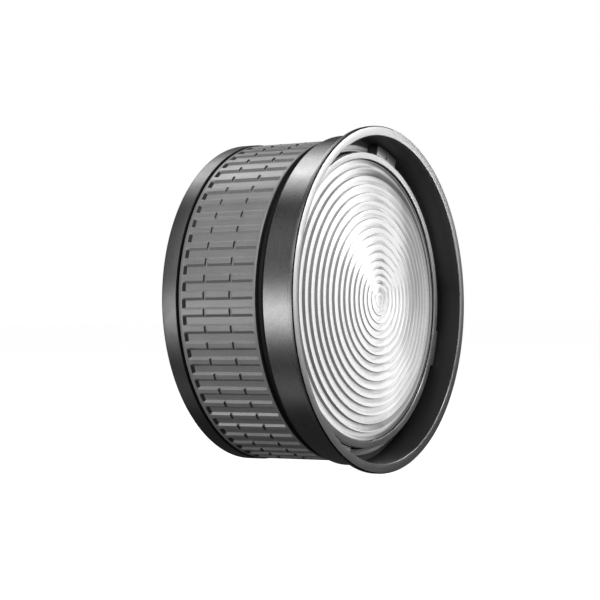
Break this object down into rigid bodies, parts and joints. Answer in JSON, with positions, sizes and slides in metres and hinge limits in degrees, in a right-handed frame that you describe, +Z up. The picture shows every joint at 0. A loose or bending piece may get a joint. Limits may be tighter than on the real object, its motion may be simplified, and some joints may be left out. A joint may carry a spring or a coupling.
{
  "type": "fresnel spotlight lens unit",
  "caption": "Wide drum lens unit for a spotlight: domed stepped glass in a rimmed metal housing, ribbed rubber focus ring that slides the lens, and a bayonet mount at the rear.",
  "frame": {"origin": "middle of the drum on the optical axis, which is the centre of the bounding box", "axes": "-Y is the way the light leaves, through the lens; +Y points to the lamp; +Z is up; X is across"},
  "size_m": [0.251, 0.1262, 0.251],
  "materials": {
    "housing": "turned and dark anodised, satin",
    "barrel": "matt black anodised",
    "block": "satin grey anodised",
    "screw": "plain steel, slightly bright",
    "rubber": "matt moulded grey rubber",
    "slide": "black bearing polymer",
    "sleeve": "dark anodised",
    "ring": "machined satin",
    "mount": "turned, satin",
    "glass": "clear pressed stepped glass",
    "gasket": "matt black",
    "brass": "turned"
  },
  "bodies": {
    "housing": {"front_housing": "housing", "rear_housing": "housing", "guide_barrel": "barrel", "clamp_block_1": "block", "clamp_block_2": "block", "clamp_block_3": "block", "clamp_block_4": "block", "clamp_block_screw_1": "screw", "clamp_block_screw_2": "screw", "clamp_block_screw_3": "screw", "clamp_block_screw_4": "screw", "barrel_screw_1": "screw", "barrel_screw_2": "screw", "barrel_screw_3": "screw", "barrel_screw_4": "screw", "mount_ring_screw_1": "screw", "mount_ring_screw_2": "screw", "mount_ring_screw_3": "screw", "mount_ring_screw_4": "screw", "front_slide_ring": "slide", "rear_slide_ring": "slide", "mount_ring": "mount"},
    "focus_ring": {"focus_sleeve": "sleeve", "grip_rubber": "rubber"},
    "lens_carriage": {"lens_carrier": "barrel", "lens_retaining_ring": "ring", "fresnel_lens": "glass", "lens_gasket": "gasket", "follower_pin_1": "screw", "follower_pin_2": "screw", "follower_pin_3": "screw", "follower_bush_1": "brass", "follower_bush_2": "brass", "follower_bush_3": "brass"}
  },
  "joints": [
    {"name": "focus_turn", "type": "hinge", "parent": "housing", "child": "focus_ring", "pos_m": [0, 0, 0], "axis": [0, 1, 0], "range_deg": [0, 90]},
    {"name": "lens_slide", "type": "slide", "parent": "housing", "child": "lens_carriage", "axis": [0, 1, 0], "range_m": [0, 0.045]}
  ],
  "couplings": [
    {"joint": "lens_slide", "follows": "focus_turn", "m_per_rad": 0.028647}
  ]
}
